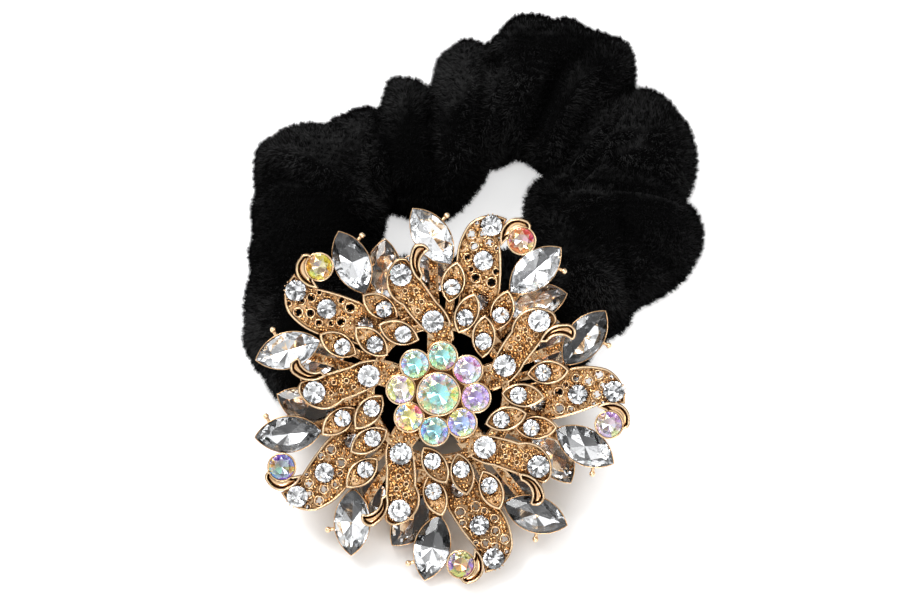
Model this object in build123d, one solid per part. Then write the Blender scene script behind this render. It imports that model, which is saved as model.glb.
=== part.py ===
"""Jewelled hair tie: a flower brooch of pierced gilt metal and cut stones on a gathered velvet tie.

The tie lies flat on the floor and the brooch leans on its front. Lengths are in millimetres and
angles in degrees. +Z is up, +X is right and +Y points away from the brooch. The origin is on the
floor in the middle of the loop that the hair goes through.

The brooch is built in a frame of its own, with its back on the plane Z = 0 and its middle at the
origin, and is then leaned back and lifted until its lowest edge just clears the floor. It has five
like sectors. Within one, 'across' runs to the right and 'out' runs from the middle to the curl.
"""
from build123d import *
import math
import os
from collections import namedtuple

os.makedirs("parts", exist_ok=True)

# Placing of the brooch. Its setback is measured from the front of the tie
brooch_lean = 28.0
brooch_side = -6.35
brooch_setback = 5.0
floor_clearance = 0.15
sector_count = 5
first_sector_turn = 43.8

# Brooch metal
brooch_reach = 35.0
hub_radius = 7.0
boss_radius = 5.5
ring_inner_radius = 11.5
ring_width = 3.0
arc_width = 1.3
spoke_width = 4.4
spoke_heading = 45.0
back_plate_thickness = 1.0
sheet_thickness = 0.9
floor_thickness = 0.6
rim_width = 0.45
rim_height = 1.15
rim_crest = 0.2
rim_shoulder = 0.1
arm_width = 1.6
hook_height = 2.0
tier_gap = 0.3
ribbon_rise = 4.0
small_ribbon_rise = 4.0
pit_radius = 0.4
pit_depth = 0.25

# Cut stones
stone_clearance = 0.1
collet_wall = 0.25
collet_drop = 0.3
collet_foot_share = 0.75
collet_height = 0.75
centre_stone_radius = 3.65
centre_stone_lift = 1.25
ring_stone_radius = 2.45
ring_stone_circle = 6.75
ring_stone_count = 8
ring_stone_turn = -6.25
curl_stone_radius = 2.3
curl_stone_lift = 0.3
leaf_stone_radius = 1.5
crown_share = 0.42
pavilion_share = 0.52
table_share = 0.56
star_share = 0.80
girdle_points = 16

# Leaves
leaf_length = 7.9
leaf_width = 4.4
leaf_stone_offset = 0.8

# Marquise stones and their settings
marquise_length = 11.5
marquise_width = 6.0
marquise_crown = 1.3
marquise_pavilion = 1.0
marquise_wall = 0.25
marquise_floor = 0.35
marquise_arm_thickness = 0.28
marquise_bezel_lip = 0.15
marquise_tip_growth = 1.25
prong_ball_radius = 0.55
prong_wire_radius = 0.32

# Velvet tie
tie_reach = 42.0
hole_reach = 17.0
crown_height = 24.0
velvet_wall = 2.0
waist_share = 0.45
floor_share = 0.74
side_roundness = 0.9
crease_steepness = 1.7
seat_gap = 0.3
elastic_radius = 1.5
elastic_clearance = 0.4
elastic_place = 0.45
sections_per_fold = 3
elastic_sections_per_fold = 2
outer_section_points = 22
inner_section_points = 12
elastic_section_points = 8

# Places in a sector are shares of brooch_reach
LeafPlace = namedtuple("LeafPlace", "across out heading rise tier")
StonePlace = namedtuple("StonePlace", "across out radius")
Seat = namedtuple("Seat", "tier frame radius girdle kind")
MarquisePlace = namedtuple(
    "MarquisePlace", "across out heading dip tier length prong_side prong_shift"
)
Bend = namedtuple("Bend", "mid_across mid_out end_across end_out")
Spot = namedtuple("Spot", "across out")
Hole = namedtuple("Hole", "across out radius")

leaf_places = [
    LeafPlace(-0.197, 0.520, 106.0, 13.0, "ribbon"),
    LeafPlace(0.093, 0.511, 102.0, 13.0, "ribbon"),
    LeafPlace(-0.063, 0.409, 95.0, 4.0, "rosette"),
    LeafPlace(0.077, 0.346, 115.0, 4.0, "rosette"),
]

ribbon_stone_places = [
    StonePlace(-0.166, 0.891, 1.9),
    StonePlace(-0.117, 0.711, 1.75),
    StonePlace(-0.030, 0.514, 1.4),
]

small_ribbon_stone_places = [
    StonePlace(0.281, 0.576, 2.0),
    StonePlace(0.234, 0.287, 2.0),
]

marquise_places = [
    MarquisePlace(-0.408, 0.691, 152.8, 2.0, "ribbon", 1.0, -1.0, 0.11),
    MarquisePlace(0.141, 0.789, 69.5, 2.0, "ribbon", 1.0, -1.0, 0.27),
    MarquisePlace(0.217, 0.640, 42.0, 0.0, "lower", 1.0, 0.0, 0.0),
    MarquisePlace(0.397, 0.474, 110.0, 0.0, "lower", 0.86, 0.0, 0.0),
]

curl_stone_spot = Spot(0.006, 0.897)

large_ribbon_start = Spot(-0.103, 0.377)
large_ribbon_bends = [
    Bend(-0.149, 0.503, -0.214, 0.600),
    Bend(-0.270, 0.728, -0.274, 0.834),
    Bend(-0.217, 0.920, -0.111, 0.957),
    Bend(-0.103, 0.883, -0.066, 0.803),
    Bend(-0.014, 0.714, 0.031, 0.620),
    Bend(0.046, 0.500, 0.029, 0.383),
]

curl_start = Spot(-0.073, 0.821)
curl_bends = [
    Bend(-0.106, 0.870, -0.111, 0.925),
    Bend(-0.088, 0.974, -0.031, 1.000),
    Bend(0.003, 0.995, 0.018, 0.971),
    Bend(-0.016, 0.919, -0.062, 0.867),
]

small_ribbon_start = Spot(0.177, 0.205)
small_ribbon_bends = [
    Bend(0.167, 0.320, 0.178, 0.457),
    Bend(0.200, 0.600, 0.290, 0.646),
    Bend(0.330, 0.645, 0.362, 0.612),
    Bend(0.345, 0.500, 0.320, 0.346),
    Bend(0.298, 0.220, 0.240, 0.138),
]

scoop_start = Spot(0.332, 0.480)
scoop_bends = [
    Bend(0.350, 0.580, 0.405, 0.628),
    Bend(0.462, 0.628, 0.482, 0.590),
    Bend(0.478, 0.574, 0.460, 0.570),
    Bend(0.402, 0.558, 0.368, 0.500),
]

filigree_holes = [
    Hole(-0.236, 0.800, 0.78), Hole(-0.183, 0.832, 0.66), Hole(-0.193, 0.752, 0.72),
    Hole(-0.134, 0.808, 0.74), Hole(-0.238, 0.866, 0.45), Hole(-0.096, 0.850, 0.45),
    Hole(-0.197, 0.686, 0.62), Hole(-0.153, 0.640, 0.52), Hole(-0.110, 0.611, 0.80),
    Hole(-0.026, 0.630, 0.84), Hole(-0.032, 0.690, 0.60), Hole(-0.086, 0.798, 0.40),
]

small_ribbon_pits = [
    Spot(0.215, 0.380), Spot(0.262, 0.400), Spot(0.228, 0.445), Spot(0.282, 0.462),
    Spot(0.240, 0.500), Spot(0.300, 0.505),
]

# Folds of the tie, clockwise from the lower left. Outer lengths are shares of tie_reach, inner
# ones of hole_reach and the crown is a share of crown_height. A crease is a sharp valley.
Fold = namedtuple("Fold", "outer_x outer_y inner_x inner_y crown crease")
folds = [
    Fold(-0.967, -0.660, -1.03, -0.53, 0.85, False),
    Fold(-0.988, -0.538, -1.04, -0.39, 0.90, False),
    Fold(-0.960, -0.286, -1.00, -0.24, 0.97, False),
    Fold(-0.950, 0.033, -0.96, -0.09, 1.00, False),
    Fold(-0.924, 0.250, -0.94, 0.05, 1.00, False),
    Fold(-0.795, 0.360, -0.92, 0.11, 0.94, False),
    Fold(-0.664, 0.374, -0.91, 0.13, 0.88, False),
    Fold(-0.500, 0.474, -0.90, 0.15, 0.86, False),
    Fold(-0.414, 0.455, -0.89, 0.16, 0.76, True),
    Fold(-0.357, 0.600, -0.73, 0.08, 0.90, False),
    Fold(-0.286, 0.617, -0.56, 0.01, 0.92, False),
    Fold(-0.183, 0.564, -0.39, -0.01, 0.78, True),
    Fold(-0.143, 0.698, -0.29, 0.02, 0.92, False),
    Fold(-0.036, 0.805, -0.13, 0.15, 0.95, False),
    Fold(0.062, 0.783, 0.04, 0.41, 0.80, True),
    Fold(0.190, 0.893, 0.12, 0.61, 1.00, False),
    Fold(0.374, 0.888, 0.27, 0.66, 1.00, False),
    Fold(0.524, 0.852, 0.41, 0.77, 0.96, False),
    Fold(0.617, 0.824, 0.51, 0.75, 0.84, False),
    Fold(0.705, 0.743, 0.64, 0.64, 0.97, False),
    Fold(0.686, 0.571, 0.95, 0.42, 0.76, True),
    Fold(0.821, 0.533, 0.99, 0.40, 0.92, False),
    Fold(0.952, 0.333, 1.00, 0.38, 0.95, False),
    Fold(0.960, 0.176, 0.99, 0.37, 0.90, False),
    Fold(0.898, 0.071, 0.97, 0.36, 0.76, True),
    Fold(0.981, -0.062, 0.82, 0.33, 0.92, False),
    Fold(0.981, -0.190, 0.65, 0.26, 0.97, False),
    Fold(0.869, -0.338, 0.57, 0.13, 0.93, False),
    Fold(0.700, -0.414, 0.55, 0.05, 0.80, True),
    Fold(0.667, -0.514, 0.59, -0.09, 0.90, False),
    Fold(0.569, -0.567, 0.66, -0.26, 0.88, False),
    Fold(0.512, -0.619, 0.62, -0.41, 0.80, True),
    Fold(0.405, -0.798, 0.41, -0.50, 0.85, False),
    Fold(0.119, -0.988, 0.06, -0.53, 0.85, False),
    Fold(-0.095, -1.012, -0.18, -0.54, 0.80, True),
    Fold(-0.333, -1.048, -0.47, -0.56, 0.85, False),
    Fold(-0.619, -0.988, -0.76, -0.59, 0.85, False),
    Fold(-0.810, -0.888, -0.94, -0.59, 0.80, False),
]

# Place of the brooch's middle in front of the origin
brooch_front = tie_reach - brooch_setback

# Heights of the brooch's tiers above its back
lower_tier = back_plate_thickness
marquise_girdle = marquise_floor + stone_clearance + marquise_pavilion
ribbon_tier = lower_tier + marquise_girdle + marquise_crown + tier_gap
collet_girdle = floor_thickness + collet_height
curl_girdle = collet_girdle + curl_stone_lift
small_stone_crown = crown_share * leaf_stone_radius
rosette_tier = ribbon_tier + collet_girdle + small_stone_crown + tier_gap
cluster_tier = rosette_tier + rim_height + stone_clearance
tier_height = {"lower": lower_tier, "ribbon": ribbon_tier, "rosette": rosette_tier}


def flat_face(points):
    """Return the flat face whose corners are the given points."""
    return Face(Wire.make_polygon([Vector(*point) for point in points]))


def solid_from_faces(faces):
    """Return the solid that a closed set of faces bounds."""
    return Solid(Shell(faces))


def in_reach(spot):
    """Return a sector spot in millimetres."""
    return spot.across * brooch_reach, spot.out * brooch_reach


def sector(number):
    """Return the frame of one sector of the brooch."""
    return Location((0, 0, 0), (0, 0, first_sector_turn - number * 360 / sector_count))


def bent_outline(start, bends):
    """Return the face inside a chain of arcs that a straight line closes."""
    first = in_reach(start)
    here = first
    edges = []
    for bend in bends:
        middle = (bend.mid_across * brooch_reach, bend.mid_out * brooch_reach)
        end = (bend.end_across * brooch_reach, bend.end_out * brooch_reach)
        edges.append(ThreePointArc(here, middle, end))
        here = end
    edges.append(Line(here, first))
    return make_face(edges)


def lens(length, width):
    """Return a pointed oval with its tips on the X axis."""
    tip = length / 2
    side = width / 2
    upper = ThreePointArc((-tip, 0), (0, side), (tip, 0))
    lower = ThreePointArc((tip, 0), (0, -side), (-tip, 0))
    return make_face([upper, lower])


def lens_points(length, width, count):
    """Return points round a pointed oval, anticlockwise from its +X tip."""
    tip = length / 2
    side = width / 2
    radius = (tip**2 + side**2) / (2 * side)
    half_angle = math.asin(tip / radius)
    points = []
    for number in range(count):
        half = 2 * number / count
        flank = 1 if half < 1 else -1
        angle = half_angle * (1 - 2 * (half % 1)) * flank
        points.append((radius * math.sin(angle), flank * (radius * math.cos(angle) - radius + side)))
    return points


def round_points(radius, count):
    """Return points round a circle."""
    turns = [2 * math.pi * number / count for number in range(count)]
    return [(radius * math.cos(turn), radius * math.sin(turn)) for turn in turns]


def cut_stone(outline, crown, pavilion):
    """Return a brilliant cut stone whose girdle lies on Z = 0 and follows the outline."""
    mains = len(outline) // 2
    star_height = crown * (1 - star_share * math.cos(math.pi / mains)) / (1 - table_share)
    girdle = [(x, y, 0) for x, y in outline]
    table = [(x * table_share, y * table_share, crown) for x, y in outline[::2]]
    middle = [(x * star_share, y * star_share, star_height) for x, y in outline[1::2]]
    culet = (0, 0, -pavilion)
    faces = [flat_face(table)]
    for number in range(mains):
        after = (number + 1) % mains
        corner = 2 * number
        between = corner + 1
        beyond = (corner + 2) % len(girdle)
        faces.append(flat_face([table[number], middle[number], table[after]]))
        faces.append(flat_face([table[number], girdle[corner], middle[number]]))
        faces.append(flat_face([table[after], middle[number], girdle[beyond]]))
        faces.append(flat_face([middle[number], girdle[corner], girdle[between]]))
        faces.append(flat_face([middle[number], girdle[between], girdle[beyond]]))
        faces.append(flat_face([culet, girdle[between], girdle[corner]]))
        faces.append(flat_face([culet, girdle[beyond], girdle[between]]))
    return solid_from_faces(faces)


def round_stone(radius):
    """Return a round stone with its girdle on Z = 0."""
    outline = round_points(radius, girdle_points)
    return cut_stone(outline, crown_share * radius, pavilion_share * radius)


def marquise_stone(length):
    """Return a marquise stone with its girdle on Z = 0."""
    outline = lens_points(length, marquise_width, girdle_points)
    return cut_stone(outline, marquise_crown, marquise_pavilion)


def rimmed_plate(face, height):
    """Return a dish: the face as its floor, with a rim of the given height round it."""
    inside = offset(face, -rim_width)
    wall = extrude(face - inside, height - rim_crest)
    crest = extrude(offset(face, -rim_shoulder) - offset(inside, rim_shoulder), rim_crest)
    return extrude(face, floor_thickness) + wall + Pos(0, 0, height - rim_crest) * crest


def collet(radius, girdle_height, drop):
    """Return the flared cup that a round stone sits in, from Z = 0 to a drop below its girdle."""
    slope = radius / (pavilion_share * radius + stone_clearance)
    mouth = radius + stone_clearance + collet_wall - drop * slope
    height = girdle_height - drop
    return Pos(0, 0, height / 2) * Cone(collet_foot_share * radius, mouth, height)


def seat_cut(radius, girdle_height):
    """Return the space that a round stone and its clearance take in the metal."""
    mouth = radius + stone_clearance
    depth = pavilion_share * radius + stone_clearance
    cone = Pos(0, 0, girdle_height - depth / 2) * Cone(stone_clearance, mouth, depth)
    return cone + Pos(0, 0, girdle_height + radius / 2) * Cylinder(mouth, radius)


def leaf_dish():
    """Return a leaf with its stone's place at the origin and its tip towards +X."""
    return rimmed_plate(Pos(leaf_stone_offset, 0) * lens(leaf_length, leaf_width), rim_height)


def prong(length, side, shift):
    """Return a ball on a stalk that stands square on one flank of a marquise setting."""
    flank_radius = (length**2 + marquise_width**2) / (4 * marquise_width)
    turn = math.degrees(math.asin(shift * length / flank_radius))
    flank_middle = side * (marquise_width / 2 - flank_radius)
    root = flank_radius + stone_clearance + marquise_wall / 2
    reach = marquise_wall / 2 + 2 * prong_ball_radius
    stalk = Pos(0, root + reach / 2, 0) * Cylinder(prong_wire_radius, reach, rotation=(90, 0, 0))
    ball = Pos(0, root + reach, 0) * Sphere(prong_ball_radius)
    facing = 0 if side > 0 else 180
    place = Pos(0, flank_middle, marquise_girdle - prong_wire_radius) * Rot(0, 0, facing - side * turn)
    return place * stalk + place * ball


def marquise_setting(length, prong_side, prong_shift):
    """Return the open-topped box that holds a marquise stone, with a ball-ended prong if asked."""
    room = 2 * stone_clearance
    grown = room + 2 * marquise_wall
    outer = lens(length + marquise_tip_growth * grown, marquise_width + grown)
    pocket = lens(length + marquise_tip_growth * room, marquise_width + room)
    height = marquise_girdle + marquise_bezel_lip
    box = extrude(outer, height) - Pos(0, 0, marquise_floor) * extrude(pocket, height)
    if prong_side:
        box += prong(length, prong_side, prong_shift)
    return box


def arm(start, end, bottom, top):
    """Return a straight bar that joins two plan points between two heights."""
    across = end[0] - start[0]
    out = end[1] - start[1]
    heading = math.degrees(math.atan2(out, across))
    size = (math.hypot(across, out), arm_width, top - bottom)
    bar = Box(*size, align=(Align.MIN, Align.CENTER, Align.MIN))
    return Location((start[0], start[1], bottom), (0, 0, heading)) * bar


def spider(bottom, boss_top, band_width):
    """Return a hub with five spokes and a ring round them, and a boss that carries the next tier."""
    plate = extrude(Circle(hub_radius), sheet_thickness)
    ring_outer_radius = ring_inner_radius + band_width
    plate += extrude(Circle(ring_outer_radius) - Circle(ring_inner_radius), sheet_thickness)
    middle = ring_inner_radius + band_width / 2
    for number in range(sector_count):
        spoke = Box(middle, spoke_width, sheet_thickness, align=(Align.MIN, Align.CENTER, Align.MIN))
        plate += sector(number) * Rot(0, 0, 90 - spoke_heading) * spoke
    if boss_top > bottom + sheet_thickness:
        plate += extrude(Circle(boss_radius), boss_top - bottom)
    return Pos(0, 0, bottom) * plate


def leaf_location(place):
    """Return the frame of a leaf in its sector."""
    across, out = in_reach(place)
    lift = leaf_length / 2 * math.sin(math.radians(place.rise))
    base = Location((across, out, tier_height[place.tier] + lift), (0, 0, place.heading))
    return base * Rot(0, -place.rise, 0)


def marquise_location(place):
    """Return the frame of a marquise setting in its sector."""
    across, out = in_reach(place)
    level = Location((across, out, tier_height[place.tier]), (0, 0, place.heading))
    return level * Rot(0, place.dip, 0)


def plate_location(level, rise):
    """Return the frame of a plate that rises outwards from the ring."""
    return Location((0, ring_inner_radius, level), (rise, 0, 0)) * Pos(0, -ring_inner_radius, 0)


def spot_location(spot):
    """Return the frame of a place on a plate."""
    across, out = in_reach(spot)
    return Pos(across, out, 0)


def large_ribbon():
    """Return one pierced ribbon with its curl, in the frame of its plate."""
    ribbon = rimmed_plate(bent_outline(large_ribbon_start, large_ribbon_bends), rim_height)
    ribbon += rimmed_plate(bent_outline(curl_start, curl_bends), hook_height)
    holes = [spot_location(hole) * Cylinder(hole.radius, 2 * rim_height) for hole in filigree_holes]
    return ribbon.cut(*holes)


def small_ribbon():
    """Return one small ribbon with its scoop, in the frame of its plate."""
    ribbon = rimmed_plate(bent_outline(small_ribbon_start, small_ribbon_bends), rim_height)
    ribbon += rimmed_plate(bent_outline(scoop_start, scoop_bends), hook_height)
    pit = Pos(0, 0, floor_thickness) * Cylinder(pit_radius, 2 * pit_depth)
    return ribbon.cut(*[spot_location(spot) * pit for spot in small_ribbon_pits])


def sector_seats():
    """Return the seat of each round stone in one sector, outside the middle cluster."""
    ribbon_plate = plate_location(ribbon_tier, ribbon_rise)
    small_plate = plate_location(rosette_tier, small_ribbon_rise)
    curl_frame = ribbon_plate * spot_location(curl_stone_spot)
    found = [Seat("ribbon", curl_frame, curl_stone_radius, curl_girdle, "curl")]
    for place in ribbon_stone_places:
        frame = ribbon_plate * spot_location(place)
        found.append(Seat("ribbon", frame, place.radius, collet_girdle, "ribbon"))
    for place in small_ribbon_stone_places:
        frame = small_plate * spot_location(place)
        found.append(Seat("rosette", frame, place.radius, collet_girdle, "ribbon"))
    for place in leaf_places:
        found.append(Seat(place.tier, leaf_location(place), leaf_stone_radius, collet_girdle, "leaf"))
    return found


def sector_pieces(tier):
    """Return the pieces of metal that one sector of a tier adds to its spider."""
    level = tier_height[tier]
    pieces = []
    for place in marquise_places:
        if place.tier == tier:
            length = marquise_length * place.length
            setting = marquise_setting(length, place.prong_side, place.prong_shift)
            pieces.append(marquise_location(place) * setting)
            pieces.append(ring_arm(place, level, level + marquise_arm_thickness))
    for place in leaf_places:
        if place.tier == tier:
            pieces.append(leaf_location(place) * leaf)
            pieces.append(ring_arm(place, level, level + sheet_thickness))
    for seat in seats:
        if seat.tier == tier:
            drop = 0 if seat.kind == "curl" else collet_drop
            pieces.append(seat.frame * collet(seat.radius, seat.girdle, drop))
    if tier == "ribbon":
        pieces.append(plate_location(level, ribbon_rise) * large_ribbon())
    if tier == "rosette":
        pieces.append(plate_location(level, small_ribbon_rise) * small_ribbon())
    return pieces


def ring_arm(place, bottom, top):
    """Return the arm from the ring to the middle of a setting or leaf."""
    across, out = in_reach(place)
    distance = math.hypot(across, out)
    start = ring_inner_radius + arc_width / 2
    return arm((across * start / distance, out * start / distance), (across, out), bottom, top)


def tier_frame(tier, hub):
    """Return the metal of a tier: its hub, its five sectors and the seats cut into them."""
    frame = hub
    for piece in sector_pieces(tier):
        frame = frame.fuse(*[sector(number) * piece for number in range(sector_count)])
    cuts = []
    for number in range(sector_count):
        for seat in seats:
            if seat.tier == tier:
                cuts.append(sector(number) * seat.frame * seat_cut(seat.radius, seat.girdle))
    return frame.cut(*cuts) if cuts else frame


def cluster():
    """Return the cups of the middle stone and of the stones round it, on their own plate."""
    ring_girdle = pavilion_share * ring_stone_radius + floor_thickness
    centre_girdle = ring_girdle + centre_stone_lift
    metal = extrude(Circle(hub_radius), floor_thickness)
    metal += collet(centre_stone_radius, centre_girdle, 0)
    cuts = [seat_cut(centre_stone_radius, centre_girdle)]
    stones = [("cluster_stone_centre", Pos(0, 0, centre_girdle) * round_stone(centre_stone_radius))]
    for number in range(ring_stone_count):
        turn = ring_stone_turn + number * 360 / ring_stone_count
        place = Rot(0, 0, turn) * Pos(ring_stone_circle, 0, 0)
        metal += place * collet(ring_stone_radius, ring_girdle, 0)
        cuts.append(place * seat_cut(ring_stone_radius, ring_girdle))
        stone = place * Pos(0, 0, ring_girdle) * round_stone(ring_stone_radius)
        stones.append((f"cluster_stone_{number + 1}", stone))
    for cut in cuts:
        metal -= cut
    lifted = Pos(0, 0, cluster_tier)
    return lifted * metal, [(name, lifted * stone) for name, stone in stones]


def section_blend(near, start_crease, end_crease, share):
    """Return a value between the middle two of four folds, smooth at a lobe and sharp at a crease."""
    before, start, end, after = near
    leaving = crease_steepness * (end - start) if start_crease else (end - before) / 2
    arriving = crease_steepness * (end - start) if end_crease else (after - start) / 2
    squared = share**2
    cubed = share**3
    return (
        (2 * cubed - 3 * squared + 1) * start
        + (cubed - 2 * squared + share) * leaving
        + (3 * squared - 2 * cubed) * end
        + (cubed - squared) * arriving
    )


def fold_at(position):
    """Return outer point, inner point and crown height at a place counted in folds."""
    count = len(folds)
    first = int(math.floor(position))
    share = position - first
    before, start, end, after = (folds[(first + step) % count] for step in (-1, 0, 1, 2))
    values = []
    for column in range(5):
        near = (before[column], start[column], end[column], after[column])
        values.append(section_blend(near, start.crease, end.crease, share))
    outer = (values[0] * tie_reach, values[1] * tie_reach)
    inner = (values[2] * hole_reach, values[3] * hole_reach)
    return outer, inner, values[4] * crown_height


def height_under_brooch(x, y):
    """Return the greatest height that velvet may have at a plan point because of the brooch."""
    slope = math.tan(math.radians(brooch_lean))
    plane = brooch_lift + (y + brooch_front) * slope - seat_gap / math.cos(math.radians(brooch_lean))
    along = (y + brooch_front) / math.cos(math.radians(brooch_lean))
    outside = math.hypot(x - brooch_side, along) - brooch_reach
    return plane + max(0, outside)


def tie_section(position, inset, count):
    """Return one closed ring of points round the tube of the tie, inset from the velvet's face."""
    outer, inner, crown = fold_at(position)
    width = math.hypot(outer[0] - inner[0], outer[1] - inner[1])
    toward = ((outer[0] - inner[0]) / width, (outer[1] - inner[1]) / width)
    middle = ((outer[0] + inner[0]) / 2, (outer[1] + inner[1]) / 2)
    half = width / 2 - inset
    waist = waist_share * crown
    points = []
    for number in range(count):
        turn = 2 * math.pi * number / count
        reach = half * math.copysign(abs(math.cos(turn)) ** side_roundness, math.cos(turn))
        rise = math.sin(turn)
        if rise >= 0:
            height = waist + (crown - inset - waist) * rise
        else:
            height = max(inset, waist + (waist - inset) * rise / floor_share)
        x = middle[0] + toward[0] * reach
        y = middle[1] + toward[1] * reach
        height = min(height, height_under_brooch(x, y) - inset)
        points.append((x, y, max(height, inset)))
    return points


def ring_skin(rings):
    """Return the solid inside a closed row of closed rings of points."""
    faces = []
    for number, ring in enumerate(rings):
        following = rings[(number + 1) % len(rings)]
        for corner in range(len(ring)):
            beside = (corner + 1) % len(ring)
            faces.append(flat_face([ring[corner], ring[beside], following[beside]]))
            faces.append(flat_face([ring[corner], following[beside], following[corner]]))
    return solid_from_faces(faces)


def elastic_centre(position):
    """Return the plan point that the elastic passes through at a place counted in folds."""
    outer, inner, _ = fold_at(position)
    return [inner[axis] + elastic_place * (outer[axis] - inner[axis]) for axis in (0, 1)]


def elastic_section(position):
    """Return one ring of points round the elastic, which lies in the foot of the velvet tube."""
    centre = elastic_centre(position)
    ahead = elastic_centre(position + 1 / elastic_sections_per_fold)
    length = math.hypot(ahead[0] - centre[0], ahead[1] - centre[1])
    normal = ((ahead[1] - centre[1]) / length, -(ahead[0] - centre[0]) / length)
    level = velvet_wall + elastic_clearance + elastic_radius
    points = []
    for across, up in round_points(elastic_radius, elastic_section_points):
        x = centre[0] + normal[0] * across
        y = centre[1] + normal[1] * across
        points.append((x, y, level + up))
    return points


# Brooch, in its own frame
leaf = leaf_dish()
seats = sector_seats()
brooch = {
    "back_plate": extrude(Circle(hub_radius), back_plate_thickness),
    "marquise_frame": tier_frame("lower", spider(lower_tier, ribbon_tier, ring_width)),
    "ribbon_frame": tier_frame("ribbon", spider(ribbon_tier, rosette_tier, ring_width)),
    "rosette_frame": tier_frame("rosette", spider(rosette_tier, cluster_tier, arc_width)),
}

brooch["cluster_cups"], cluster_stones = cluster()
brooch.update(cluster_stones)

stone_fields = {"ribbon": [], "leaf": []}
for number in range(sector_count):
    for seat in seats:
        stone = sector(number) * seat.frame * Pos(0, 0, seat.girdle) * round_stone(seat.radius)
        if seat.kind == "curl":
            brooch[f"curl_stone_{number + 1}"] = stone
        else:
            stone_fields[seat.kind].append(stone)
    for order, place in enumerate(marquise_places):
        stone = marquise_stone(marquise_length * place.length)
        stone_number = number * len(marquise_places) + order + 1
        seated = sector(number) * marquise_location(place) * Pos(0, 0, marquise_girdle) * stone
        brooch[f"marquise_stone_{stone_number:02d}"] = seated
brooch["ribbon_stones"] = Compound(stone_fields["ribbon"])
brooch["leaf_stones"] = Compound(stone_fields["leaf"])

# Brooch, leaned back and lifted clear of the floor
lean = Rot(brooch_lean, 0, 0)
frame_names = ("back_plate", "marquise_frame", "ribbon_frame", "rosette_frame")
lowest = min((lean * brooch[name]).bounding_box().min.Z for name in frame_names)
brooch_lift = floor_clearance - lowest
placed = Pos(brooch_side, -brooch_front, brooch_lift) * lean
for name, shape in brooch.items():
    export_step(placed * shape, f"parts/{name}.step")

# Tie
outer_rings = [
    tie_section(number / sections_per_fold, 0, outer_section_points)
    for number in range(len(folds) * sections_per_fold)
]
inner_rings = [
    tie_section(number, velvet_wall, inner_section_points)
    for number in range(len(folds))
]
cover = ring_skin(outer_rings) - ring_skin(inner_rings)
export_step(cover, "parts/scrunchie_cover.step")

elastic_rings = [
    elastic_section(number / elastic_sections_per_fold)
    for number in range(len(folds) * elastic_sections_per_fold)
]
export_step(ring_skin(elastic_rings), "parts/elastic_band.step")
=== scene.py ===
"""Looks of the jewelled hair tie: plush velvet, gilt metal with grained floors, cut crystals."""
import math
from collections import namedtuple

import bmesh
import bpy
import numpy as np
from mathutils import Matrix, Vector


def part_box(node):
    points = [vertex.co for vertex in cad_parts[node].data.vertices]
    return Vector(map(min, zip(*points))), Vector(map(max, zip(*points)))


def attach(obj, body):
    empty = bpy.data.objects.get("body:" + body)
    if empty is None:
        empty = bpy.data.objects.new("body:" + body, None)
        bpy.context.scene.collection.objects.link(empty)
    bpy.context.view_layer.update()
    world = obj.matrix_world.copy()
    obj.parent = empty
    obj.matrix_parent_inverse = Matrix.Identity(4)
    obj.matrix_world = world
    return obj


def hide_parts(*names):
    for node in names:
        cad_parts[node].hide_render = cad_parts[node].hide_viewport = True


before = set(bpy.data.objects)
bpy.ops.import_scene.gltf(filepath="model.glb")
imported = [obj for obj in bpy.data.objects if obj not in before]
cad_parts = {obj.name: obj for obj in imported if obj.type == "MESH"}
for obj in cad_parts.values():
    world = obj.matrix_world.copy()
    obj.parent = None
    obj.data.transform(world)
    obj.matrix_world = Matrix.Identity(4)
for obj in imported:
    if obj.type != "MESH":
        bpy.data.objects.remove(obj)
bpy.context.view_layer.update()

MM = 0.001
SEED = 5
FAR = 1e9
scene = bpy.context.scene

# Sizes that the solids have, in millimetres and degrees
brooch_reach = 35.0
brooch_lean = 28.0
sector_count = 5
first_sector_turn = 43.8
ring_inner_radius = 11.5
floor_thickness = 0.6
rim_height = 1.15
ribbon_rise = 4.0
small_ribbon_rise = 4.0
lower_tier = 1.0
marquise_girdle = 1.45
ribbon_tier = 4.05
rosette_tier = 6.33
cluster_tier = 7.58
sheet_thickness = 0.9
collet_girdle = 1.35
curl_girdle = 1.65
leaf_length = 7.9
leaf_stone_radius = 1.5
curl_stone_radius = 2.3
centre_stone_radius = 3.65
centre_stone_lift = 1.25
ring_stone_radius = 2.45
ring_stone_circle = 6.75
ring_stone_turn = -6.25
ring_stone_count = 8
ring_girdle = 1.874
marquise_length = 11.5
marquise_width = 6.0
marquise_crown = 1.3
marquise_foil = 0.62
marquise_arm_thickness = 0.28
crown_share = 0.42
foil_share = 0.27
plate_thickness = 1.0

# How far the marquise stones lap over their settings' walls
marquise_lap = 0.22
marquise_tips_lap = 2.5 * marquise_lap

# Places on the brooch: across and out are shares of its reach, angles are in degrees
Leaf = namedtuple("Leaf", "across out heading rise tier")
Spot = namedtuple("Spot", "across out radius")
Marquise = namedtuple("Marquise", "across out heading dip tier length")

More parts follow.
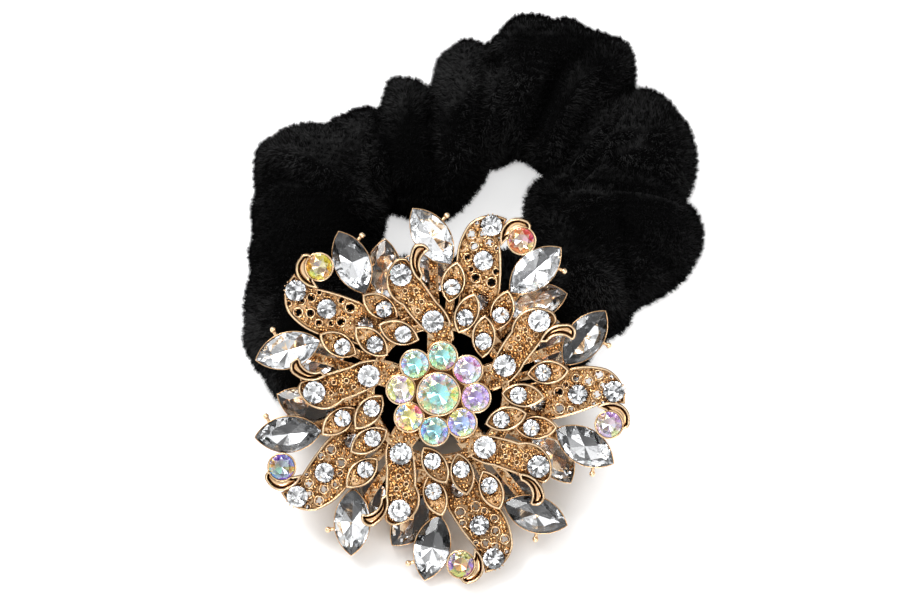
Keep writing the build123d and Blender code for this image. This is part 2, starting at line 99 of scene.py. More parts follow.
leaves = [
    Leaf(-0.197, 0.520, 106.0, 13.0, ribbon_tier),
    Leaf(0.093, 0.511, 102.0, 13.0, ribbon_tier),
    Leaf(-0.063, 0.409, 95.0, 4.0, rosette_tier),
    Leaf(0.077, 0.346, 115.0, 4.0, rosette_tier),
]
ribbon_places = [
    Spot(-0.166, 0.891, 1.9),
    Spot(-0.117, 0.711, 1.75),
    Spot(-0.030, 0.514, 1.4),
]
small_ribbon_places = [Spot(0.281, 0.576, 2.0), Spot(0.234, 0.287, 2.0)]
marquises = [
    Marquise(-0.408, 0.691, 152.8, 2.0, ribbon_tier, 1.0),
    Marquise(0.141, 0.789, 69.5, 2.0, ribbon_tier, 1.0),
    Marquise(0.217, 0.640, 42.0, 0.0, lower_tier, 1.0),
    Marquise(0.397, 0.474, 110.0, 0.0, lower_tier, 0.86),
]
curl_place = (0.006, 0.897)
filigree_holes = [
    Spot(-0.236, 0.800, 0.78), Spot(-0.183, 0.832, 0.66), Spot(-0.193, 0.752, 0.72),
    Spot(-0.134, 0.808, 0.74), Spot(-0.238, 0.866, 0.45), Spot(-0.096, 0.850, 0.45),
    Spot(-0.197, 0.686, 0.62), Spot(-0.153, 0.640, 0.52), Spot(-0.110, 0.611, 0.80),
    Spot(-0.026, 0.630, 0.84), Spot(-0.032, 0.690, 0.60), Spot(-0.086, 0.798, 0.40),
]
pits = [
    (0.215, 0.380), (0.262, 0.400), (0.228, 0.445), (0.282, 0.462),
    (0.240, 0.500), (0.300, 0.505),
]


# Frames, in millimetres
def shift(x, y, z):
    return Matrix.Translation((x, y, z))


def turn(axis, degrees):
    return Matrix.Rotation(math.radians(degrees), 4, axis)


def reach(place):
    return place[0] * brooch_reach, place[1] * brooch_reach


lean = turn("X", brooch_lean)
back_low, back_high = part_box("back_plate")
back_middle = (back_low + back_high) / 2 / MM
brooch_origin = back_middle - lean @ Vector((0, 0, plate_thickness / 2))
brooch = Matrix.Translation(brooch_origin) @ lean


def sector(number):
    return brooch @ turn("Z", first_sector_turn - number * 360 / sector_count)


def plate(level, rise):
    return shift(0, ring_inner_radius, level) @ turn("X", rise) @ shift(0, -ring_inner_radius, 0)


def large_ribbon(number):
    return sector(number) @ plate(ribbon_tier, ribbon_rise)


def small_ribbon(number):
    return sector(number) @ plate(rosette_tier, small_ribbon_rise)


def leaf_frame(place):
    across, out = reach(place)
    lift = leaf_length / 2 * math.sin(math.radians(place.rise))
    return shift(across, out, place.tier + lift) @ turn("Z", place.heading) @ turn("Y", -place.rise)


def marquise_frame(place):
    across, out = reach(place)
    return shift(across, out, place.tier) @ turn("Z", place.heading) @ turn("Y", place.dip)


def on_plate(place):
    across, out = reach(place)
    return shift(across, out, 0)


# Objects and meshes
def add_object(name, data):
    made = bpy.data.objects.new(name, data)
    scene.collection.objects.link(made)
    return made


def make_piece(name, points, faces, materials, slot, smooth=True, face_slots=None, tints=None):
    """Makes a mesh piece from points in millimetres and puts it on the part's one body."""
    mesh = bpy.data.meshes.new(name)
    corners = (np.asarray(points, float) * MM).tolist()
    mesh.from_pydata(corners, [], [list(map(int, face)) for face in faces])
    for material in materials:
        mesh.materials.append(material)
    if face_slots is not None:
        mesh.polygons.foreach_set("material_index", np.asarray(face_slots, np.int32))
    mesh.polygons.foreach_set("use_smooth", np.full(len(mesh.polygons), smooth))
    if tints is not None:
        layer = mesh.color_attributes.new("tint", "FLOAT_COLOR", "CORNER")
        sizes = np.array([len(f) for f in faces])
        colours = np.repeat(np.asarray(tints, np.float32), sizes, axis=0)
        rgba = np.concatenate([colours, np.ones((len(colours), 1), np.float32)], axis=1)
        layer.data.foreach_set("color", rgba.ravel())
    mesh.validate()
    mesh.update()
    piece = add_object(name, mesh)
    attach(piece, "root")
    return piece


def placed(matrix, points):
    """Returns points moved by a matrix, out of a frame or, by its inverse, into it."""
    m = np.array(matrix)
    return np.asarray(points, float) @ m[:3, :3].T + m[:3, 3]


def join(parts):
    """Joins parts, each (points, faces), into one."""
    points, faces = [], []
    for local, local_faces in parts:
        start = len(points)
        points.extend(local)
        faces.extend([start + corner for corner in face] for face in local_faces)
    return points, faces


def read_vectors(items, key):
    """Returns one vector of each of a mesh's items, such as its vertices' places."""
    values = np.zeros(len(items) * 3, np.float32)
    items.foreach_get(key, values)
    return values.reshape(-1, 3).astype(float)


def triangle_corners(mesh):
    """Returns the vertex numbers of a mesh's triangles."""
    mesh.calc_loop_triangles()
    corners = np.zeros(len(mesh.loop_triangles) * 3, np.int32)
    mesh.loop_triangles.foreach_get("vertices", corners)
    return corners.reshape(-1, 3)


# Materials
def new_material(name):
    material = bpy.data.materials.new(name)
    material.use_nodes = True
    tree = material.node_tree
    return material, tree, tree.nodes["Principled BSDF"]


def set_inputs(made, values):
    for key, value in values.items():
        made.inputs[key].default_value = value


def node(tree, kind, wires=None, **values):
    """Adds a node. A value goes to the input of its name, or else to the setting of its name."""
    made = tree.nodes.new("ShaderNode" + kind)
    for key, value in values.items():
        if key in made.inputs:
            made.inputs[key].default_value = value
        else:
            setattr(made, key, value)
    for key, source in (wires or {}).items():
        tree.links.new(source, made.inputs[key])
    return made


def ramp(tree, source, stops):
    """Returns a colour ramp of the source. Each stop is (place, colour)."""
    made = node(tree, "ValToRGB", {"Fac": source})
    elements = made.color_ramp.elements
    while len(elements) < len(stops):
        elements.new(0.5)
    for element, (place, colour) in zip(elements, stops):
        element.position = place
        element.color = (*colour, 1)
    return made.outputs["Color"]


def map_range(tree, source, ends):
    """Returns the source's value moved from one range to another."""
    return node(tree, "MapRange", {"Value": source}, **ends).outputs["Result"]


def noise(tree, where, scale, detail, **more):
    """Returns a noise that keeps its place on the object."""
    wires = {"Vector": where.outputs["Position"]}
    made = node(tree, "TexNoise", wires, Scale=scale, Detail=detail, **more)
    return made.outputs["Fac"]


def attribute(tree, name, output):
    return node(tree, "Attribute", attribute_name=name).outputs[output]


def multiply(tree, first, second, factor):
    """Returns the first colour multiplied by the second, mixed in by the factor."""
    made = node(
        tree, "Mix", {"A": first, "B": second},
        data_type="RGBA", blend_type="MULTIPLY", Factor=factor,
    )
    return made.outputs["Result"]


def add(tree, first, second):
    wires = {0: first, 1: second}
    return node(tree, "Math", wires, operation="ADD").outputs["Value"]


def dot(tree, source, direction):
    made = node(tree, "VectorMath", {0: source}, operation="DOT_PRODUCT")
    made.inputs[1].default_value = direction
    return made.outputs["Value"]


def add_bump(tree, shader, height, strength, distance):
    made = node(tree, "Bump", {"Height": height}, Strength=strength, Distance=distance)
    tree.links.new(made.outputs["Normal"], shader.inputs["Normal"])
    return made


def gilt_material(name, exposed, flank, recess_shade, roughness, grain, grain_scale, ao_reach, tinted):
    """Polished gilt with fine casting grain. Ambient occlusion darkens its colour towards a deep
    copper brown in the recesses, which is painted shade.
    """
    material, tree, shader = new_material(name)
    where = node(tree, "NewGeometry")
    shade = node(tree, "AmbientOcclusion", samples=6, Distance=ao_reach)
    # Painted shade: by ambient occlusion the colour goes from the exposed tone through the flank
    # tone to dark brown in recesses
    colour = ramp(tree, shade.outputs["AO"], [(0.40, recess_shade), (0.70, flank), (0.93, exposed)])
    if tinted:
        colour = multiply(tree, colour, attribute(tree, "tint", "Color"), 1.0)
    clouds = noise(tree, where, 220.0, 3.0)
    stain = ramp(tree, clouds, [(0.35, (0.82, 0.74, 0.68)), (0.65, (1, 1, 1))])
    colour = multiply(tree, colour, stain, 0.5)
    tree.links.new(colour, shader.inputs["Base Color"])
    rough = map_range(tree, clouds, {"To Min": roughness * 0.7, "To Max": roughness * 1.5})
    tree.links.new(rough, shader.inputs["Roughness"])
    shader.inputs["Metallic"].default_value = 1.0
    bump = add_bump(tree, shader, noise(tree, where, grain_scale, 2.0), grain, 0.00008)
    edge = node(tree, "Bevel", samples=6, Radius=0.0002)
    tree.links.new(edge.outputs["Normal"], bump.inputs["Normal"])
    return material


def glass_material(name, tint, film):
    """Clear cut glass. Without a tint of its own its colour comes from each facet's."""
    material, tree, shader = new_material(name)
    set_inputs(shader, {"Roughness": 0.0, "IOR": 1.56, "Transmission Weight": 1.0})
    if film:
        set_inputs(shader, {"Thin Film Thickness": film, "Thin Film IOR": 1.9})
    if tint is None:
        tree.links.new(attribute(tree, "tint", "Color"), shader.inputs["Base Color"])
    else:
        shader.inputs["Base Color"].default_value = (*tint, 1)
    return material


def foil_material(name):
    """Mirror backing behind a stone, tinted by facet with coating colours and painted dark
    reflections, with the faint ripple of its coat.
    """
    material, tree, shader = new_material(name)
    where = node(tree, "NewGeometry")
    add_bump(tree, shader, noise(tree, where, 1400.0, 1.0), 0.08, 0.0001)
    tree.links.new(attribute(tree, "tint", "Color"), shader.inputs["Base Color"])
    set_inputs(shader, {"Metallic": 1.0, "Roughness": 0.06})
    return material


def velvet_material(name, low, high):
    """Black pile: nearly no shine, a soft sheen at grazing light, a nap that lies in random
    patches, painted light on the sides turned up towards the key lamp, and painted sheen and shade
    in patches.
    """
    material, tree, shader = new_material(name)
    where = node(tree, "NewGeometry")
    nap_and_painted_light = noise(tree, where, 110.0, 3.0, Roughness=0.55)
    # Painted light: sides turned up and towards the back, where the key lamp stands, are lighter
    painted_lit_side = dot(tree, where.outputs["Normal"], (-0.10, 0.40, 0.30))
    # The lightness adds random patches of nap, the painted light on lit sides and the painted sheen
    # and shade that the mesh carries
    lightness = add(tree, add(tree, nap_and_painted_light, painted_lit_side), attribute(tree, "nap_and_painted_light", "Fac"))
    colour = ramp(tree, lightness, [(0.68, (low,) * 3), (1.0, (high,) * 3)])
    tree.links.new(colour, shader.inputs["Base Color"])
    set_inputs(shader, {
        "Roughness": 0.95, "Specular IOR Level": 0.05, "Sheen Weight": 0.04,
        "Sheen Roughness": 0.45, "Sheen Tint": (0.75, 0.76, 0.8, 1),
    })
    add_bump(tree, shader, noise(tree, where, 2600.0, 2.0), 0.6, 0.0003)
    return material


gilt = gilt_material(
    "gilt_polished", exposed=(1.0, 0.77, 0.51), flank=(0.72, 0.41, 0.18),
    recess_shade=(0.12, 0.045, 0.011), roughness=0.13, grain=0.12, grain_scale=4200.0,
    ao_reach=0.0021, tinted=False,
)
grained = gilt_material(
    "gilt_grained", exposed=(1.0, 0.70, 0.36), flank=(0.64, 0.30, 0.085),
    recess_shade=(0.13, 0.045, 0.010), roughness=0.12, grain=0.3, grain_scale=6500.0,
    ao_reach=0.0007, tinted=True,
)
crystal = glass_material("crystal_crown", tint=(1.0, 1.0, 1.0), film=0.0)
aurora = glass_material("aurora_crown", tint=None, film=380.0)
foil = foil_material("stone_foil")
velvet = velvet_material("velvet_ground", low=0.0006, high=0.018)
pile_fibre = velvet_material("velvet_pile", low=0.0008, high=0.045)
rubber, _, rubber_shader = new_material("elastic_rubber")
rubber_shader.inputs["Base Color"].default_value = (0.02, 0.02, 0.02, 1)


def dress(name, material):
    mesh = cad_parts[name].data
    mesh.materials.clear()
    mesh.materials.append(material)


for name in ("back_plate", "marquise_frame", "ribbon_frame", "rosette_frame", "cluster_cups"):
    dress(name, gilt)
dress("elastic_band", rubber)


# Cut stones
TABLE, STAR, KITE, UPPER, GIRDLE, MAIN, LOWER = range(7)


def brilliant(outline, crown, pavilion):
    """Returns points, faces and roles of a brilliant whose girdle is at Z = 0."""
    table_share, star_share, tip_share, band = 0.56, 0.80, 0.30, 0.05
    count = len(outline)
    mains = count // 2
    lean_in = math.cos(math.pi / mains)
    star_height = band + (crown - band) * (1 - star_share * lean_in) / (1 - table_share)
    tip_height = -pavilion * (1 - tip_share * lean_in)
    points = [(x * table_share, y * table_share, crown) for x, y in outline[::2]]
    points += [(x * star_share, y * star_share, star_height) for x, y in outline[1::2]]
    points += [(x, y, band) for x, y in outline]
    points += [(x, y, -band) for x, y in outline]
    points += [(x * tip_share, y * tip_share, tip_height) for x, y in outline[1::2]]
    points.append((0, 0, -pavilion))
    star, top, bottom, tip = mains, 2 * mains, 2 * mains + count, 2 * mains + 2 * count
    culet = len(points) - 1
    faces, roles = [tuple(range(mains))], [TABLE]
    for n in range(mains):
        after, before = (n + 1) % mains, (n - 1) % mains
        g0, g1, g2 = 2 * n, 2 * n + 1, (2 * n + 2) % count
        rows = [
            ((n, star + n, after), STAR),
            ((n, star + before, top + g0, star + n), KITE),
            ((star + n, top + g0, top + g1), UPPER),
            ((star + n, top + g1, top + g2), UPPER),
            ((top + g0, bottom + g0, bottom + g1, top + g1), GIRDLE),
            ((top + g1, bottom + g1, bottom + g2, top + g2), GIRDLE),
            ((culet, tip + n, bottom + g0, tip + before), MAIN),
            ((tip + n, bottom + g1, bottom + g0), LOWER),
            ((tip + n, bottom + g2, bottom + g1), LOWER),
        ]
        faces += [face for face, _ in rows]
        roles += [role for _, role in rows]
    return points, faces, roles


def round_outline(radius, count=16):
    turns = [2 * math.pi * n / count for n in range(count)]
    return [(radius * math.cos(a), radius * math.sin(a)) for a in turns]


def lens_outline(length, width, count=16):
    tip, side = length / 2, width / 2
    radius = (tip**2 + side**2) / (2 * side)
    half_angle = math.asin(tip / radius)
    points = []
    for n in range(count):
        half = 2 * n / count
        flank = 1 if half < 1 else -1
        angle = half_angle * (1 - 2 * (half % 1)) * flank
        rise = radius * math.cos(angle) - radius + side
        points.append((radius * math.sin(angle), flank * rise))
    return points


def round_gem(radius):
    return brilliant(round_outline(radius), crown_share * radius, foil_share * radius)


def marquise_gem(length):
    """Returns a marquise with a wide table and a keel in place of a culet."""
    table_share, keel_share, keel_rise = 0.62, 0.5, 0.12
    band_top, band_foot = 0.30, 0.21
    outline = lens_outline(length + marquise_tips_lap, marquise_width + 2 * marquise_lap)
    count = len(outline)
    mains = count // 2
    points = [(x * table_share, y * table_share, marquise_crown) for x, y in outline[::2]]
    points += [(x, y, band_top) for x, y in outline]
    points += [(x, y, band_foot) for x, y in outline]
    for x in (1, 0, -1):
        points.append((x * keel_share * length / 2, 0, keel_rise * abs(x) - marquise_foil))
    top, bottom, keel = mains, mains + count, mains + 2 * count
    faces, roles = [tuple(range(mains))], [TABLE]
    for n in range(mains):
        after = (n + 1) % mains
        g0, g1, g2 = 2 * n, 2 * n + 1, (2 * n + 2) % count
        faces += [(n, top + g0, top + g1), (n, top + g1, after), (after, top + g1, top + g2)]
        roles += [UPPER, KITE, UPPER]
        for start, end in ((g0, g1), (g1, g2)):
            faces.append((top + start, bottom + start, bottom + end, top + end))
            roles.append(GIRDLE)
    for n, peak in enumerate((0, 1, 1, 2, 2, 1, 1, 0)):
        flank = [bottom + corner % count for corner in (2 * n + 2, 2 * n + 1, 2 * n)]
        faces.append((keel + peak, *flank))
        roles.append(MAIN)
    for corner, first, second in ((2, 0, 1), (6, 1, 2), (10, 2, 1), (14, 1, 0)):
        faces.append((keel + first, keel + second, bottom + corner))
        roles.append(LOWER)
    return points, faces, roles


CLEAR = (0.97, 0.98, 0.99)

# Levels of a clear stone's foil facets, and how often each comes. The darker levels are painted
# reflections of dark surroundings.
CLEAR_LEVELS, CLEAR_ODDS = [1.0, 0.85, 0.22], [0.62, 0.18, 0.20]
MARQUISE_LEVELS, MARQUISE_ODDS = [0.95, 0.82, 0.50], [0.62, 0.26, 0.12]
# Levels of a marquise's foil and crown on its side painted dark as a reflection, and of its crown
# elsewhere
PAINTED_DARK_FOIL, PAINTED_DARK_CROWN, BRIGHT_CROWN = 0.14, 0.45, 0.97

# How strongly each kind of facet of an iridescent stone takes its colour
COLOUR_SHARES = {
    MAIN: 0.4, LOWER: 0.3, TABLE: 0.6, STAR: 0.35, KITE: 0.9, UPPER: 0.9, GIRDLE: 0.3,
}
PATCH_WANDER = 0.35


def clear_tint(middle, role, rng):
    """Foil of a clear stone: bright, with a few darker facets that are painted dark reflections."""
    if role in (MAIN, LOWER):
        level = rng.choice(CLEAR_LEVELS, p=CLEAR_ODDS)
        return tuple(level * c for c in CLEAR)
    return CLEAR


def marquise_tint(side):
    """Returns a tint rule for a marquise: bright, with one broad side painted dark as a reflection
    of dark surroundings.
    """
    heading, begins = math.radians(side[0]), side[1]
    direction = np.array([math.cos(heading) / marquise_length, math.sin(heading) / marquise_width])

    def rule(middle, role, rng):
        dark = np.asarray(middle[:2]) @ direction > begins
        if role in (MAIN, LOWER):
            level = PAINTED_DARK_FOIL if dark else rng.choice(MARQUISE_LEVELS, p=MARQUISE_ODDS)
        else:
            level = PAINTED_DARK_CROWN if dark else BRIGHT_CROWN
        return tuple(level * c for c in CLEAR)
    return rule


def aurora_tint(palette, twist, depth=1.0, level=1.0, hearted=(MAIN, TABLE)):
    """Returns a tint rule: the middle's colour first, then patches going round from the right."""
    heart, around = np.array(palette[0]), palette[1:]

    def rule(middle, role, rng):
        angle = (math.degrees(math.atan2(middle[1], middle[0])) + twist) % 360
        wander = rng.uniform(-PATCH_WANDER, PATCH_WANDER)
        patch = np.array(around[int(round(angle / 360 * len(around) + wander)) % len(around)])
        share = min(1.0, depth * COLOUR_SHARES[role])
        colour = heart if role in hearted else patch
        return tuple(level * (share * colour + 1 - share))
    return rule


def stone_piece(name, gems, nodes, slot, crown_material):
    """Joins placed gems into one piece. Each gem is (frame, (points, faces, roles), tint rule)."""
    points, faces = join([(placed(matrix, gem[0]), gem[1]) for matrix, gem, _ in gems])
    slots, tints = [], []
    rng = np.random.default_rng(SEED + len(name))
    for _, (local, local_faces, roles), rule in gems:
        for face, role in zip(local_faces, roles):
            slots.append(1 if role in (MAIN, LOWER) else 0)
            middle = np.mean([local[corner] for corner in face], axis=0)
            tints.append(rule(middle, role, rng))
    piece = make_piece(
        name, points, faces, [crown_material, foil], slot,
        smooth=False, face_slots=slots, tints=tints,
    )
    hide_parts(*nodes)


turquoise, teal, green = (0.25, 0.9, 0.86), (0.05, 0.6, 0.66), (0.62, 0.92, 0.66)
lavender, violet, purple = (0.80, 0.74, 0.96), (0.62, 0.40, 0.92), (0.45, 0.28, 0.80)
pink, rose, crimson = (1.0, 0.66, 0.80), (1.0, 0.42, 0.46), (0.86, 0.10, 0.30)
orange, yellow, lime = (1.0, 0.56, 0.12), (1.0, 0.90, 0.12), (0.84, 0.92, 0.36)
white, beige, blue = (1.0, 0.98, 0.97), (0.96, 0.84, 0.72), (0.36, 0.58, 1.0)

# Middle, then round from the right, anticlockwise
centre_palette = (turquoise, yellow, lavender, lavender, pink, pink, orange, rose, lime)
ring_palettes = [
    (purple, lavender, lavender, lavender, pink, pink, pink, lime, beige),
    (lavender, beige, lavender, violet, pink, lavender, crimson, white, green),
    (turquoise, beige, green, white, green, green, lime, orange, crimson),
    (turquoise, white, lavender, lavender, lavender, violet, white, lime, yellow),
    (beige, yellow, yellow, beige, lime, lime, lime, purple, lavender),
    (yellow, white, crimson, orange, blue, pink, rose, orange, blue),
    (teal, violet, white, green, turquoise, blue, lime, beige, crimson),
    (blue, white, pink, lavender, yellow, violet, purple, yellow, lime),
]
curl_palettes = [
    (white, yellow, yellow, beige, lavender, orange, yellow, yellow, orange),
    (white, crimson, crimson, rose, beige, lavender, orange, orange, orange),
    (white, lavender, pink, lavender, pink, beige, lavender, violet, lime),
    (orange, lavender, green, lavender, blue, violet, orange, yellow, rose),
    (green, orange, violet, purple, beige, beige, turquoise, purple, violet),
]

# Each marquise's side painted dark as a reflection: degrees anticlockwise from the tip, and where
# it begins as a share of the stone from its middle
bright = (0, 1.0)
painted_dark_sides = [
    (120, 0.40), (-20, 0.09), bright, bright,
    bright, (30, 0.32), bright, bright,
    (65, -0.04), (115, 0.20), (150, 0.30), (-60, 0.0),
    (130, -0.05), (180, 0.0), (150, 0.06), (-90, -0.2),
    (180, 0.12), (-110, 0.03), (180, 0.0), bright,
]

iridescent, clear = ("iridescent_crystal", aurora), ("clear_crystal", crystal)
centre_frame = brooch @ shift(0, 0, cluster_tier + ring_girdle + centre_stone_lift)
rule = aurora_tint(centre_palette, 0)
stone_piece(
    "centre_gem", [(centre_frame, round_gem(centre_stone_radius), rule)],
    ["cluster_stone_centre"], *iridescent,
)
for n in range(ring_stone_count):
    angle = ring_stone_turn + n * 360 / ring_stone_count
    spot = brooch @ turn("Z", angle) @ shift(ring_stone_circle, 0, cluster_tier + ring_girdle)
    rule = aurora_tint(ring_palettes[n], angle)
    stone_piece(
        f"ring_gem_{n + 1}", [(spot, round_gem(ring_stone_radius), rule)],
        [f"cluster_stone_{n + 1}"], *iridescent,
    )

ribbon_gems, leaf_gems, milled_spots, prong_spots = [], [], [], []
for k in range(sector_count):
    spot = large_ribbon(k) @ on_plate(curl_place) @ shift(0, 0, curl_girdle)
    twist = first_sector_turn - k * 360 / sector_count
    rule = aurora_tint(curl_palettes[k], twist, depth=1.3, level=0.88, hearted=(TABLE,))
    stone_piece(
        f"curl_gem_{k + 1}", [(spot, round_gem(curl_stone_radius), rule)],
        [f"curl_stone_{k + 1}"], *iridescent,
    )
    for base, places in ((large_ribbon(k), ribbon_places), (small_ribbon(k), small_ribbon_places)):
        for place in places:
            spot = base @ on_plate(place) @ shift(0, 0, collet_girdle)
            ribbon_gems.append((spot, round_gem(place.radius), clear_tint))
            milled_spots.append((spot, place.radius))
            prong_spots.append((spot, place.radius))
    for place in leaves:
        spot = sector(k) @ leaf_frame(place) @ shift(0, 0, collet_girdle)
        leaf_gems.append((spot, round_gem(leaf_stone_radius), clear_tint))
        prong_spots.append((spot, leaf_stone_radius))
    for order, place in enumerate(marquises):
        number = k * len(marquises) + order + 1
        spot = sector(k) @ marquise_frame(place) @ shift(0, 0, marquise_girdle)
        gem = marquise_gem(marquise_length * place.length)
        stone_piece(
            f"marquise_gem_{number:02d}", [(spot, gem, marquise_tint(painted_dark_sides[number - 1]))],
            [f"marquise_stone_{number:02d}"], *clear,
        )
stone_piece("ribbon_gems", ribbon_gems, ["ribbon_stones"], *clear)
stone_piece("leaf_gems", leaf_gems, ["leaf_stones"], *clear)


# Casting grain on the sunk floors, and the scrolls of the curls, in millimetres. A part of a
# ribbon's floor over FIELD_AREA is its field, and one over CURL_AREA belongs to its curl.
FLAT_TOLERANCE = 0.02
FIELD_AREA, CURL_AREA = 20, 3
SCROLL_STEP, SCROLL_RISE, SCROLL_START, SCROLL_SINK = 0.1, 0.5, 0.12, 0.02
GRAIN_PITCH, GRAIN_MARGIN, GRAIN_JITTER, GRAIN_SINK = 0.47, 0.16, 0.38, 0.02
BARE_SHARE = 0.12
SMALLEST_GRAIN, GRAIN_SPREAD, GRAIN_FAVOUR = 0.15, 0.22, 1.5
GRAIN_HEIGHTS, GRAIN_TILTS = (0.6, 1.5), (-0.12, 0.12)
GRAIN_TINTS = [(1.0, 1.0, 1.0), (0.80, 0.66, 0.52), (0.26, 0.18, 0.12)]
GRAIN_ODDS = [0.36, 0.38, 0.26]
HEXAGON_ROW = 0.866
DOME_SIDES = 6


def node_triangles(name):
    """Returns a CAD node's triangle corners in millimetres."""
    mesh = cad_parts[name].data
    return (read_vectors(mesh.vertices, "co") / MM)[triangle_corners(mesh)]


def floor_triangles(triangles, matrix, level):
    """Returns the triangles that lie on a plate's floor, in the plate's own frame."""
    local = placed(matrix.inverted(), triangles)
    flat = np.abs(local[:, :, 2] - level).max(axis=1) < FLAT_TOLERANCE
    normal = np.cross(local[:, 1] - local[:, 0], local[:, 2] - local[:, 0])
    return local[flat & (normal[:, 2] > 0)]


def border(triangles):
    """Returns the edges that only one triangle has."""
    uses = {}
    for tri in np.round(triangles[:, :, :2], 4):
        for n in range(3):
            ends = tuple(sorted((tuple(tri[n - 1]), tuple(tri[n]))))
            uses[ends] = uses.get(ends, 0) + 1
    return np.array([ends for ends, count in uses.items() if count == 1])


def islands(triangles):
    """Splits triangles into the parts that share corners."""
    parts = []
    for index, tri in enumerate(np.round(triangles[:, :, :2], 3)):
        corners, members = {tuple(corner) for corner in tri}, [index]
        touching = [part for part in parts if part[0] & corners]
        parts = [part for part in parts if not part[0] & corners]
        for found, others in touching:
            corners |= found
            members += others
        parts.append((corners, members))
    return [triangles[group] for group in sorted(sorted(members) for _, members in parts)]


def plan_cross(u, v):
    """Returns twice the signed area between two vectors, seen from above."""
    return u[..., 0] * v[..., 1] - u[..., 1] * v[..., 0]


def plan_area(triangles):
    """Returns the area that triangles cover, seen from above."""
    a, b, c = (triangles[:, corner] for corner in range(3))
    return np.abs(plan_cross(b - a, c - a)).sum() / 2


def plan_box(triangles):
    """Returns the lowest and highest corner of triangles, seen from above."""
    return triangles[:, :, :2].min(axis=(0, 1)), triangles[:, :, :2].max(axis=(0, 1))


def field_and_curls(triangles):
    """Parts a ribbon's floor into its field and the small floors of its curl."""
    parts = islands(triangles)
    field = [part for part in parts if plan_area(part) > FIELD_AREA]
    curls = [part for part in parts if CURL_AREA < plan_area(part) <= FIELD_AREA]
    return np.concatenate(field), curls


def line_distance(spots, start, end):
    """Returns how far each plan point is from the straight line between two others."""
    run = end - start
    t = np.clip(((spots - start) @ run) / (run @ run), 0, 1)
    return np.linalg.norm(spots - start - t[:, None] * run, axis=1)


def stand_inside(spots, triangles):
    """Tells which plan points lie inside the triangles, and how far from their border."""
    inside = np.zeros(len(spots), bool)
    for a, b, c in triangles[:, :, :2]:
        area = plan_cross(b - a, c - a)
        if abs(area) < 1e-6:
            continue
        u = plan_cross(spots - a, c - a) / area
        v = plan_cross(b - a, spots - a) / area
        inside |= (u >= 0) & (v >= 0) & (u + v <= 1)
    near = np.full(len(spots), FAR)
    for a, b in border(triangles):
        if (b - a) @ (b - a) >= 1e-9:
            near = np.minimum(near, line_distance(spots, a, b))
    return inside, near


def scroll(matrix, triangles):
    """Returns the polished swelling that fills a curl's floor."""
    low, high = plan_box(triangles)
    xs, ys = (np.arange(low[axis], high[axis] + SCROLL_STEP, SCROLL_STEP) for axis in (0, 1))
    spots = np.stack(np.meshgrid(xs, ys, indexing="ij"), axis=-1).reshape(-1, 2)
    inside, near = stand_inside(spots, triangles)
    swell = np.sqrt(np.clip(1 - (1 - near / near[inside].max()) ** 2, 0, 1))
    grid = np.pad(inside.reshape(len(xs), len(ys)), 1)
    wide, deep = grid.shape

    # The scroll stands on the points whose eight neighbours are inside too
    core = grid.copy()
    for dx in (-1, 0, 1):
        for dy in (-1, 0, 1):
            core[1:-1, 1:-1] &= grid[1 + dx:wide - 1 + dx, 1 + dy:deep - 1 + dy]
    core = core[1:-1, 1:-1].ravel()
    crest = rim_height - SCROLL_START + SCROLL_RISE * swell
    heights = np.where(core, crest, floor_thickness - SCROLL_SINK)
    numbers = np.full(len(spots), -1)
    numbers[inside] = np.arange(inside.sum())
    numbers = numbers.reshape(len(xs), len(ys))
    before, after = numbers[:-1], numbers[1:]
    quads = np.stack([before[:, :-1], after[:, :-1], after[:, 1:], before[:, 1:]], axis=-1)
    quads = quads.reshape(-1, 4)
    points = np.concatenate([spots, heights[:, None]], axis=1)[inside]
    return placed(matrix, points), quads[quads.min(axis=1) >= 0].tolist()


def grain_spots(triangles, rng):
    """Returns jittered plan points inside the triangles, clear of their border."""
    low, high = plan_box(triangles)
    rows = np.arange(low[1], high[1], GRAIN_PITCH * HEXAGON_ROW)
    spots = []
    for number, y in enumerate(rows):
        xs = np.arange(low[0] + (number % 2) * GRAIN_PITCH / 2, high[0], GRAIN_PITCH)
        spots.append(np.stack([xs, np.full(len(xs), y)], axis=1))
    spots = np.concatenate(spots)
    spots += rng.uniform(-GRAIN_JITTER, GRAIN_JITTER, spots.shape) * GRAIN_PITCH
    inside, near = stand_inside(spots, triangles)
    return spots[inside & (near > GRAIN_MARGIN)]


def dome(radius, height, tilt, spin):
    """Returns the points of one low grain: foot, shoulder and crest."""
    turns = spin + np.arange(DOME_SIDES) * 2 * math.pi / DOME_SIDES
    foot = np.stack([radius * np.cos(turns), radius * np.sin(turns), np.zeros(DOME_SIDES)], axis=1)
    shoulder = foot * 0.72 + (tilt[0], tilt[1], height * 0.7)
    crest = np.array([[tilt[0] * 1.4, tilt[1] * 1.4, height]])
    return np.concatenate([foot, shoulder, crest])


def dome_faces():
    """Returns the faces of one low grain."""
    sides = [(i, (i + 1) % DOME_SIDES) for i in range(DOME_SIDES)]
    walls = [(i, after, DOME_SIDES + after, DOME_SIDES + i) for i, after in sides]
    return walls + [(DOME_SIDES + i, DOME_SIDES + after, 2 * DOME_SIDES) for i, after in sides]


def grain_tint(rng):
    return GRAIN_TINTS[rng.choice(len(GRAIN_TINTS), p=GRAIN_ODDS)]


